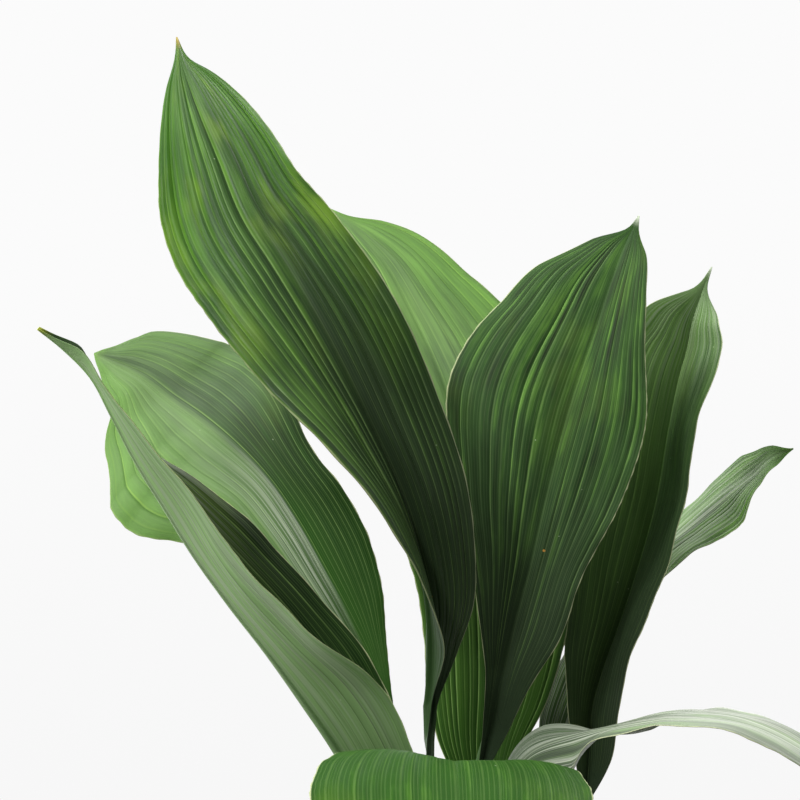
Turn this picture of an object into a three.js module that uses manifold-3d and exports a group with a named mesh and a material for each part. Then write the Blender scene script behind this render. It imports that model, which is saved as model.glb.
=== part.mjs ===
// A potted cast iron plant (Aspidistra elatior): eleven leaves on stems that stand in the soil of a plain pot.
// Millimetres, +Z up, origin in the middle of the pot's foot. The front of the plant faces -Y.
import * as THREE from "three";
import { mergeVertices } from "three/addons/utils/BufferGeometryUtils.js";
import Module from "manifold-3d";

const manifold = await Module();
manifold.setup();

// Pot and soil
const POT_HEIGHT = 185;
const POT_FOOT_RADIUS = 74;
const POT_RIM_RADIUS = 100;
const RIM_HEIGHT = 26;
const RIM_PROUD = 3.5; // how far the rim's band stands out from the tapered wall
const WALL = 5.5;
const POT_FLOOR = 10;
const EDGE_ROUND = 2; // radius of the pot's rounded edges
const POT_SIDES = 40;
const SOIL_LEVEL = 158; // where the soil meets the pot
const SOIL_CROWN = 5; // how much higher it is in the middle
const SOIL_RINGS = 4;
const GAP = 0.3; // between pieces that touch

// Leaves
const BLADE_THICKNESS = 0.7;
const STEM_HALF_WIDTH = 2.5;
const STEM_DEPTH = 4.4;
const STEM_FOOT = 134; // height of the stems' buried ends
const TIP_RIB_HALF_WIDTH = 1;
const TIP_RIB_DEPTH = 0.9; // depth of the rib where the blade ends
const RIB_SHARE = 0.85; // largest share of a half's width that the rib takes
const RIB_MIDDLE = 0.55; // where the middle of the rib's three columns stands
const LEAST_HALF_WIDTH = 0.4; // so that the blade still has a width at its tip
const PLEAT_HEIGHT = 0.7;
const PLEAT_FULL_WIDTH = 25; // half-width from which the pleats have their full height
const HALF_COLUMNS = 4; // faces across each half of a blade, outside the rib
const STEM_STEPS = 2;
const BLADE_STEPS = 17;
const HOLE_RADIUS = 4.2;
const HOLE_SIDES = 12;

// Each leaf has the place of its foot in the soil, points of its stem, and the stations of its blade from
// base to tip. A station is x, y, z of the rib, then the half-width and the turn of the left half and of
// the right half. The turn, in degrees, is towards the upper face. Left and right are as seen on the upper
// face with the tip up, and "across" points to the left. "bend" is how far the left and the right half
// turn further towards the upper face from rib to margin. "wave" is the height, count and phase of the
// margin's waves.
const LEAVES = {
  leaf_tall: {
    foot: [-16, -20],
    stem: [[-22, -23, 295]],
    blade: [
      [-21, -25, 325, 3, 90, 3, 10],
      [-21, -28, 353, 17, 112, 14, -10],
      [-22, -33, 380, 25, 98, 24, 0],
      [-27, -39, 407, 31, 88, 30, 8],
      [-36, -46, 438, 36, 76, 36, 14],
      [-53, -52, 477, 41, 57, 40, 14],
      [-77, -54, 525, 46, 20, 43, 20],
      [-98, -50, 561, 50, 0, 39, 24],
      [-117, -42, 591, 50, -10, 34, 28],
      [-130, -32, 620, 43, -12, 28, 25],
      [-149, -14, 659, 20, -10, 15, 15],
      [-157, -5, 677, 7, -5, 4, 10],
      [-161, 2, 690, 0.5, 0, 0.5, 0],
    ],
    across: [-1, 0, 0],
    bend: [-20, -24],
    wave: [1, 2, 0],
  },
  leaf_pleated: {
    foot: [8, 12],
    stem: [],
    blade: [
      [6, 6, 281, 3, 60, 3, 40],
      [13, 4, 313, 7, 40, 12, 34],
      [18, 4, 338, 11, 30, 19, 28],
      [24, 5, 363, 20, 18, 28, 24],
      [34, 8, 399, 37, 8, 31, 22],
      [43, 12, 437, 54, 0, 42, 20],
      [57, 19, 488, 70, -8, 45, 18],
      [72, 27, 531, 57, -12, 30, 22],
      [81, 33, 557, 43, -14, 22, 24],
      [88, 38, 575, 21, -15, 15, 20],
      [94, 42, 587, 4, -5, 6, 15],
      [98, 45, 595, 0.5, 0, 0.5, 0],
    ],
    across: [-1, 0, 0],
    bend: [-24, -20],
    wave: [1, 2, 0],
  },
  leaf_bright: {
    foot: [4, 36],
    stem: [[5, 38, 200]],
    blade: [
      [6, 39, 235, 3, 30, 3, 30],
      [9, 41, 270, 15, 20, 14, 20],
      [10, 43, 297, 28, 15, 24, 15],
      [12, 46, 325, 35, 10, 36, 10],
      [12, 50, 353, 37, 10, 45, 8],
      [10, 57, 387, 40, 10, 52, 10],
      [6, 67, 426, 50, 10, 52, 12],
      [-2, 79, 467, 57, 10, 56, 12],
      [-15, 93, 507, 57, 10, 56, 10],
      [-31, 107, 542, 51, 10, 43, 12],
      [-48, 120, 573, 37, 10, 28, 14],
      [-65, 129, 592, 19, 10, 13, 10],
      [-80, 136, 606, 0.5, 0, 0.5, 0],
    ],
    across: [-1, 0, 0],
    bend: [-20, -20],
    wave: [1, 3, 0],
  },
  leaf_dark: {
    foot: [26, 30],
    stem: [[50, 38, 205]],
    blade: [
      [67, 44, 262, 3, 40, 3, 40],
      [70, 48, 287, 12, 40, 20, 55],
      [71, 51, 311, 16, 30, 30, 63],
      [78, 55, 335, 26, 25, 38, 74],
      [88, 60, 361, 35, 22, 42, 77],
      [100, 67, 395, 45, 16, 46, 74],
      [111, 75, 432, 50, 12, 47, 72],
      [119, 83, 473, 50, 12, 44, 74],
      [127, 90, 507, 48, 18, 42, 66],
      [131, 93, 520, 42, 20, 34, 60],
      [134, 96, 534, 32, 22, 25, 58],
      [141, 100, 554, 7, 20, 4, 20],
      [147, 102, 569, 0.5, 0, 0.5, 0],
    ],
    across: [-1, 0, 0],
    bend: [-24, -16],
    wave: [1, 2, 0],
  },
  leaf_striped: {
    foot: [34, 50],
    stem: [[40, 64, 215]],
    blade: [
      [49, 76, 263, 3, 20, 3, 20],
      [57, 86, 294, 14, 0, 14, 30],
      [66, 94, 319, 18, -30, 24, 60],
      [79, 100, 346, 28, -65, 34, 75],
      [95, 105, 372, 36, -76, 38, 80],
      [113, 108, 397, 42, -82, 42, 77],
      [133, 110, 415, 42, -83, 44, 72],
      [154, 110, 433, 38, -86, 36, 68],
      [172, 108, 446, 24, -76, 20, 86],
      [184, 104, 457, 9, -66, 9, 76],
      [195, 100, 461, 0.5, 0, 0.5, 0],
    ],
    across: [-1, 0, 0],
    bend: [-16, -16],
    wave: [1, 3, 0],
  },
  leaf_broad: {
    foot: [-14, 26],
    stem: [],
    blade: [
      [-38, 36, 286, 3, 40, 3, 40],
      [-47, 42, 317, 11, 25, 6, 30],
      [-57, 49, 344, 23, 20, 14, 24],
      [-69, 56, 366, 34, 14, 26, 18],
      [-83, 64, 390, 45, 10, 34, 14],
      [-99, 74, 417, 55, 6, 36, 14],
      [-116, 83, 441, 62, 2, 35, 12],
      [-146, 96, 468, 79, -2, 54, 4],
      [-161, 102, 479, 75, 0, 59, -6],
      [-177, 107, 490, 55, 8, 56, -16],
      [-192, 110, 502, 33, 18, 45, -22],
      [-207, 112, 510, 19, 20, 30, -22],
      [-216, 113, 515, 10, 20, 18, -22],
      [-221, 114, 518, 0.5, 0, 0.5, 0],
    ],
    across: [-1, 0, 0],
    bend: [-46, -40],
    wave: [1, 3, 0],
  },
  leaf_folded: {
    foot: [-20, -36],
    stem: [],
    blade: [
      [-35, -46, 222, 3, 60, 3, 60],
      [-50, -51, 255, 26, 152, 16, 0],
      [-59, -56, 284, 36, 162, 28, 0],
      [-72, -62, 308, 43, 162, 37, -8],
      [-87, -68, 331, 47, 157, 42, -20],
      [-106, -76, 359, 47, 138, 44, -40],
      [-126, -84, 386, 47, 129, 46, -54],
      [-143, -92, 411, 44, 127, 44, -64],
      [-157, -100, 435, 40, 130, 39, -77],
      [-171, -108, 459, 35, 128, 30, -88],
      [-182, -116, 482, 27, 123, 20, -88],
      [-192, -124, 502, 18, 121, 13, -95],
      [-204, -131, 515, 11, 147, 7, -50],
      [-216, -138, 525, 2, 140, 2, -20],
    ],
    across: [-1, 0, 0],
    bend: [-20, -20],
    wave: [1, 2, 0],
  },
  leaf_arching: {
    foot: [-8, -42],
    stem: [[-9, -60, 225]],
    blade: [
      [-10, -80, 262, 3, 30, 3, 30],
      [-11, -108, 291, 28, 20, 28, 20],
      [-12, -150, 312, 52, 0, 52, 8],
      [-12, -195, 320, 62, -7, 63, 0],
      [-12, -240, 313, 63, -7, 67, -2],
      [-12, -280, 288, 54, -2, 59, 0],
      [-12, -308, 248, 32, 8, 33, 8],
      [-12, -322, 200, 0.5, 0, 0.5, 0],
    ],
    across: [1, 0, 0],
    bend: [-24, -24],
    wave: [1, 2, 0],
  },
  leaf_reaching: {
    foot: [20, -30],
    stem: [[16, -44, 230]],
    blade: [
      [13, -60, 280, 8, 10, 8, 0],
      [29, -75, 308, 28, 2, 26, -40],
      [52, -90, 319, 40, -16, 38, -40],
      [76, -105, 325, 46, -8, 44, 5],
      [102, -118, 331, 48, -4, 46, 6],
      [131, -128, 330, 42, 1, 40, -3],
      [159, -134, 318, 30, 10, 28, -12],
      [183, -138, 298, 14, 10, 14, -10],
      [203, -140, 269, 0.5, 0, 0.5, 0],
    ],
    across: [0, 1, 0],
    bend: [-20, -20],
    wave: [1, 2, 0],
  },
  leaf_back_left: {
    foot: [-4, 60],
    stem: [[4, 76, 250]],
    blade: [
      [10, 90, 300, 3, 20, 3, 20],
      [15, 104, 330, 20, 15, 20, 15],
      [18, 118, 358, 30, 10, 32, 10],
      [16, 148, 416, 38, 10, 42, 10],
      [8, 172, 465, 36, 10, 38, 10],
      [-5, 188, 509, 20, 10, 20, 10],
      [-17, 196, 540, 0.5, 0, 0.5, 0],
    ],
    across: [-1, 0, 0],
    bend: [-24, -24],
    wave: [1, 2, 0],
  },
  leaf_back_right: {
    foot: [16, 62],
    stem: [[26, 90, 230]],
    blade: [
      [32, 112, 285, 3, 20, 3, 20],
      [34, 134, 320, 20, 15, 20, 15],
      [36, 158, 360, 36, 10, 36, 10],
      [42, 192, 410, 44, 10, 44, 10],
      [48, 218, 450, 36, 10, 36, 10],
      [52, 238, 480, 18, 10, 18, 10],
      [54, 250, 500, 0.5, 0, 0.5, 0],
    ],
    across: [-1, 0, 0],
    bend: [-24, -24],
    wave: [1, 2, 0],
  },
};

const MATERIALS = {
  leaf: new THREE.MeshStandardMaterial({ color: 0x3f7a2e, roughness: 0.4 }),
  soil: new THREE.MeshStandardMaterial({ color: 0x33261c, roughness: 0.95 }),
  pot: new THREE.MeshStandardMaterial({ color: 0xd9d4ca, roughness: 0.55 }),
};

const mix = (a, b, t) => a + (b - a) * t;
const clamp = (v, low, high) => Math.min(Math.max(v, low), high);

// A smooth curve through rows of numbers whose first three are a place, by distance along those places.
function curveThrough(rows) {
  const knots = [0];
  for (let i = 1; i < rows.length; i++) {
    const step = [0, 1, 2].map((k) => rows[i][k] - rows[i - 1][k]);
    knots.push(knots[i - 1] + Math.hypot(...step));
  }
  const last = rows.length - 1;
  const chord = (i, k) => (rows[i + 1][k] - rows[i][k]) / (knots[i + 1] - knots[i]);
  const slope = (i, k) => {
    if (i === 0) return chord(0, k);
    if (i === last) return chord(last - 1, k);
    return mix(chord(i - 1, k), chord(i, k), (knots[i] - knots[i - 1]) / (knots[i + 1] - knots[i - 1]));
  };
  const at = (s) => {
    let i = 0;
    while (i < last - 1 && s > knots[i + 1]) i++;
    const span = knots[i + 1] - knots[i];
    const t = (s - knots[i]) / span;
    return rows[i].map((from, k) => {
      const to = rows[i + 1][k];
      const out = slope(i, k) * span;
      const into = slope(i + 1, k) * span;
      const a = 2 * from - 2 * to + out + into;
      const b = 3 * to - 3 * from - 2 * out - into;
      return ((a * t + b) * t + out) * t + from;
    });
  };
  return { at, knots };
}

// Directions at a place on the rib: along it, to its left, and out of its upper face
function frameAt(curve, s, across) {
  const step = 0.5;
  const length = curve.knots.at(-1);
  const before = curve.at(clamp(s - step, 0, length));
  const after = curve.at(clamp(s + step, 0, length));
  const along = new THREE.Vector3(...after).sub(new THREE.Vector3(...before)).normalize();
  const left = new THREE.Vector3(...across);
  left.addScaledVector(along, -left.dot(along)).normalize();
  const face = new THREE.Vector3().crossVectors(along, left);
  return { left, face };
}

// Points across one half of the blade, from the rib to the margin. side is 1 for left and -1 for right.
function halfSection(rib, frame, side, station, shape) {
  const { width, turn, bend } = station;
  const ribHalf = Math.min(mix(STEM_HALF_WIDTH - GAP, TIP_RIB_HALF_WIDTH, shape.progress), width * RIB_SHARE);
  const places = [0, RIB_MIDDLE * ribHalf, ribHalf];
  for (let i = 1; i <= HALF_COLUMNS; i++) places.push(mix(ribHalf, width, i / HALF_COLUMNS));
  const across = frame.left.clone().multiplyScalar(side);
  const spine = rib.clone();
  return places.map((place, i) => {
    const angleAt = (u) => THREE.MathUtils.degToRad(turn + bend * (u / width - 0.5));
    if (i > 0) {
      const middle = angleAt((place + places[i - 1]) / 2);
      const step = place - places[i - 1];
      spine.addScaledVector(across, Math.cos(middle) * step);
      spine.addScaledVector(frame.face, Math.sin(middle) * step);
    }
    const angle = angleAt(place);
    const normal = across.clone().multiplyScalar(-Math.sin(angle));
    normal.addScaledVector(frame.face, Math.cos(angle));
    const share = place / width;
    const fold = i > 2 && i < places.length - 1 ? (i % 2 ? 1 : -1) : 0;
    const pleat = PLEAT_HEIGHT * fold * clamp(width / PLEAT_FULL_WIDTH, 0, 1);
    const lift = pleat + shape.wave(side) * share * share;
    const round = Math.sqrt(Math.max(0, 1 - (place / ribHalf) ** 2));
    const depth = mix(BLADE_THICKNESS, shape.ribDepth, round);
    return { point: spine.clone(), normal, lift, depth };
  });
}

function leafGeometry({ foot, stem, blade, across, bend, wave }) {
  const stemRow = (place) => [...place, STEM_HALF_WIDTH, 0, STEM_HALF_WIDTH, 0];
  const soilTop = SOIL_LEVEL + SOIL_CROWN;
  const stemRows = [[...foot, STEM_FOOT], [...foot, soilTop], ...stem].map(stemRow);
  const curve = curveThrough([...stemRows, ...blade]);
  const base = curve.knots[stemRows.length];
  const length = curve.knots.at(-1);
  const buried = curve.knots[1];

  const stops = [0, buried];
  for (let i = 1; i <= STEM_STEPS; i++) stops.push(mix(buried, base, i / STEM_STEPS));
  for (let i = 1; i <= BLADE_STEPS; i++) stops.push(mix(base, length, i / BLADE_STEPS));

  const upper = [];
  const lower = [];
  for (const s of stops) {
    const [x, y, z, leftWidth, leftTurn, rightWidth, rightTurn] = curve.at(s);
    const rib = new THREE.Vector3(x, y, z);
    const frame = frameAt(curve, s, across);
    const progress = clamp((s - base) / (length - base), 0, 1);
    const [height, count, phase] = wave;
    const shape = {
      progress,
      ribDepth: mix(STEM_DEPTH, TIP_RIB_DEPTH, Math.sqrt(progress)),
      wave: (side) =>
        height * Math.sin(Math.PI * progress) * Math.sin(2 * Math.PI * (count * progress + phase * side)),
    };
    const left = { width: Math.max(leftWidth, LEAST_HALF_WIDTH), turn: leftTurn, bend: bend[0] };
    const right = { width: Math.max(rightWidth, LEAST_HALF_WIDTH), turn: rightTurn, bend: bend[1] };
    const leftHalf = halfSection(rib, frame, 1, left, shape);
    const rightHalf = halfSection(rib, frame, -1, right, shape);
    const middle = leftHalf[0];
    middle.normal.add(rightHalf[0].normal).normalize();
    const row = [...leftHalf.slice(1).reverse(), middle, ...rightHalf.slice(1)];
    upper.push(row.map((p) => p.point.clone().addScaledVector(p.normal, p.lift)));
    lower.push(row.map((p) => p.point.clone().addScaledVector(p.normal, p.lift - p.depth)));
  }
  return closedSheet(upper, lower);
}

// A closed body between two grids of points, with each cell split along the same diagonal on both
function closedSheet(upper, lower) {
  const rows = upper.length;
  const columns = upper[0].length;
  const positions = [...upper.flat(), ...lower.flat()].flatMap((p) => [p.x, p.y, p.z]);
  const top = (i, j) => i * columns + j;
  const under = (i, j) => (rows + i) * columns + j;
  const faces = [];
  const quad = (a, b, c, d) => faces.push(a, b, c, a, c, d);
  for (let i = 0; i < rows - 1; i++) {
    for (let j = 0; j < columns - 1; j++) {
      quad(top(i, j), top(i, j + 1), top(i + 1, j + 1), top(i + 1, j));
      faces.push(under(i, j), under(i + 1, j + 1), under(i, j + 1));
      faces.push(under(i, j), under(i + 1, j), under(i + 1, j + 1));
    }
    const right = columns - 1;
    quad(top(i, 0), top(i + 1, 0), under(i + 1, 0), under(i, 0));
    quad(top(i + 1, right), top(i, right), under(i, right), under(i + 1, right));
  }
  for (let j = 0; j < columns - 1; j++) {
    const end = rows - 1;
    quad(top(0, j), under(0, j), under(0, j + 1), top(0, j + 1));
    quad(top(end, j + 1), under(end, j + 1), under(end, j), top(end, j));
  }
  const geometry = new THREE.BufferGeometry();
  geometry.setAttribute("position", new THREE.Float32BufferAttribute(positions, 3));
  geometry.setIndex(faces);
  geometry.computeVertexNormals();
  return geometry;
}

// Radius of the pot's tapered inside at a height
function potInside(z) {
  return mix(POT_FOOT_RADIUS, POT_RIM_RADIUS - RIM_PROUD, z / POT_HEIGHT) - WALL;
}

// A lathe turns its profile's Y axis, so the result is stood up to turn about Z.
function turned(profile) {
  const points = profile.map(([radius, height]) => new THREE.Vector2(radius, height));
  return new THREE.LatheGeometry(points, POT_SIDES).rotateX(Math.PI / 2);
}

function potGeometry() {
  const outside = (z) => potInside(z) + WALL;
  const bandFoot = POT_HEIGHT - RIM_HEIGHT;
  return turned([
    [0, 0],
    [POT_FOOT_RADIUS - EDGE_ROUND, 0],
    [outside(EDGE_ROUND), EDGE_ROUND],
    [outside(bandFoot), bandFoot],
    [outside(bandFoot) + RIM_PROUD, bandFoot + RIM_PROUD],
    [POT_RIM_RADIUS, POT_HEIGHT - EDGE_ROUND],
    [POT_RIM_RADIUS - EDGE_ROUND, POT_HEIGHT],
    [potInside(POT_HEIGHT) + EDGE_ROUND, POT_HEIGHT],
    [potInside(POT_HEIGHT - EDGE_ROUND), POT_HEIGHT - EDGE_ROUND],
    [potInside(POT_FLOOR), POT_FLOOR],
    [0, POT_FLOOR],
  ]);
}

function soilGeometry() {
  const low = POT_FLOOR + GAP;
  const profile = [[0, low], [potInside(low) - GAP, low]];
  for (let i = 0; i <= SOIL_RINGS; i++) {
    const share = i / SOIL_RINGS;
    const radius = (potInside(SOIL_LEVEL) - GAP) * (1 - share);
    profile.push([radius, SOIL_LEVEL + SOIL_CROWN * (1 - (1 - share) ** 2)]);
  }
  let soil = toSolid(turned(profile));
  for (const { foot, across } of Object.values(LEAVES)) {
    const left = new THREE.Vector3(...across);
    const face = new THREE.Vector3(0, 0, 1).cross(left);
    const depth = 2 * (SOIL_LEVEL + SOIL_CROWN - STEM_FOOT + GAP);
    const hole = new THREE.CylinderGeometry(HOLE_RADIUS, HOLE_RADIUS, depth, HOLE_SIDES);
    hole.rotateX(Math.PI / 2);
    const behind = -STEM_DEPTH / 2;
    hole.translate(foot[0] + face.x * behind, foot[1] + face.y * behind, STEM_FOOT - GAP + depth / 2);
    soil = soil.subtract(toSolid(hole));
  }
  return toGeometry(soil);
}

function toSolid(geometry) {
  const plain = geometry.clone();
  plain.deleteAttribute("normal");
  plain.deleteAttribute("uv");
  const merged = mergeVertices(plain, 1e-3);
  const vertProperties = merged.attributes.position.array;
  return new manifold.Manifold(
    new manifold.Mesh({ numProp: 3, vertProperties, triVerts: new Uint32Array(merged.index.array) }),
  );
}

function toGeometry(solid) {
  const { vertProperties, triVerts } = solid.getMesh();
  const geometry = new THREE.BufferGeometry();
  geometry.setAttribute("position", new THREE.BufferAttribute(vertProperties, 3));
  geometry.setIndex(new THREE.BufferAttribute(triVerts, 1));
  geometry.computeVertexNormals();
  return geometry;
}

const plant = new THREE.Group();

function addPiece(name, geometry, material) {
  const mesh = new THREE.Mesh(geometry, material);
  mesh.name = name;
  plant.add(mesh);
}

addPiece("pot", potGeometry(), MATERIALS.pot);
addPiece("soil", soilGeometry(), MATERIALS.soil);
for (const [name, leaf] of Object.entries(LEAVES)) addPiece(name, leafGeometry(leaf), MATERIALS.leaf);

export default plant;
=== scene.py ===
"""A potted cast iron plant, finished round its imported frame. Metres, +Z up, the plant's front faces -Y."""
import math
import random

import bpy
import numpy as np
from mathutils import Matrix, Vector, noise


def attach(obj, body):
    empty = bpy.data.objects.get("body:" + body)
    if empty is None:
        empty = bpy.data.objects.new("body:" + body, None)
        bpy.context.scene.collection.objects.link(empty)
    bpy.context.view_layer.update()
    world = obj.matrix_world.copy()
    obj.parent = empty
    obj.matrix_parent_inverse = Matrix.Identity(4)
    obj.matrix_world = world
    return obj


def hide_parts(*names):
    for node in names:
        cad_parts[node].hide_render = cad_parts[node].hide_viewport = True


MM = 0.001  # the sizes and tables down to LEAVES are in millimetres

# Camera
CAMERA_PLACE = (-38, -1300, 490)
VIEW_WIDTH = 440  # what the picture is wide at the plant's middle
SENSOR = 36

# Pot and soil, as the frame has them
POT_HEIGHT = 185
POT_FOOT_RADIUS = 74
POT_RIM_RADIUS = 100
RIM_HEIGHT = 26
RIM_PROUD = 3.5
WALL = 5.5
POT_FLOOR = 10
SOIL_LEVEL = 158
SOIL_CROWN = 5  # how much higher its middle is

# Finer form of the pot and the soil
POT_SIDES = 144
POT_EDGE_RADIUS = 2.4
POT_EDGE_STEPS = 5
SOIL_SIDES = 180
SOIL_RINGS = 60
SOIL_DEPTH = 30  # less than in the frame, since only its top shows
SOIL_INTO_WALL = 0.5  # so that no gap shows round the soil
SOIL_TAPER = 4  # by how much its underside is narrower
SOIL_LUMPS = ((2.2, 0.05), (1.6, 0.16), (1.0, 0.4))  # how high its clods are, and how close together

# Leaves, as the frame has them
BLADE_THICKNESS = 0.7
STEM_HALF_WIDTH = 2.5
STEM_DEPTH = 4.4
STEM_FOOT = 134  # height of its buried end
TIP_RIB_DEPTH = 0.9
RIB_SHARE = 0.85  # the most of a half's width that its rib takes

# Finer form of the leaves
STEM_STEPS = 10
BLADE_STEPS = 120
SLOPE_REACH = 0.5  # how far on and back the rib's direction is taken
STEM_ENDS = 0.12  # share of the blade's length over which the stem's form ends
STEM_RIB_SHARE = 0.97  # what RIB_SHARE is in the stem
LEAST_HALF_WIDTH = 0.4
RIB_STOPS = (0, 0.3, 0.6, 0.85)  # where the columns stand on the rib
RIB_FOLDS = (0, 0.25, 0.4, 0.2)  # their distance from a vein, in pleats
RIB_NARROWS = (-0.1, 0.5)  # from where to where along the blade
TIP_RIB_HALF_WIDTH = 0.6
STEM_GROOVE = 0.7
STEM_GROOVE_REACH = 1.1
PLEATS = 10  # in each half
PLEAT_STOPS = (0, 0.06, 0.16, 0.32, 0.52, 0.74, 0.92)  # where the columns stand in a pleat
PLEAT_FULL_WIDTH = 42  # the half-width from which the relief is at its deepest
CREASE_DEPTH = 1.9
CREASE_DEPTHS = (0.15, 0.3, 0.5, 0.75, 1.0)  # the shares of it that a crease may have
CREASE_LEFT = 0.5  # reach of a crease's long left flank, in pleats
CREASE_RIGHT = 0.14  # and of its short right one
CREASE_SHIFT = 0.28  # how far a crease may stand from its even place, in pleats
ROLL_HEIGHT = 0.96  # of the blade's broad, slow unevenness
MARGIN_THICKNESS = 0.35
MARGIN_TAPER = 4  # width over which the blade thins towards its margin
MARGIN_BULGE = 0.15  # how far the rounded margin stands out
SCALLOP_HEIGHT = 0.25  # of the small steps in the margin's outline
SCALLOPS = 27
RUFFLE_HEIGHT = 0.5  # of the small waves along the margin
RUFFLES = 9
DRIP_TIP = 0.6  # what is left of the width near the very tip
DRIP_SPAN = (0.93, 0.985)  # from where to where along the blade it narrows to that

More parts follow.
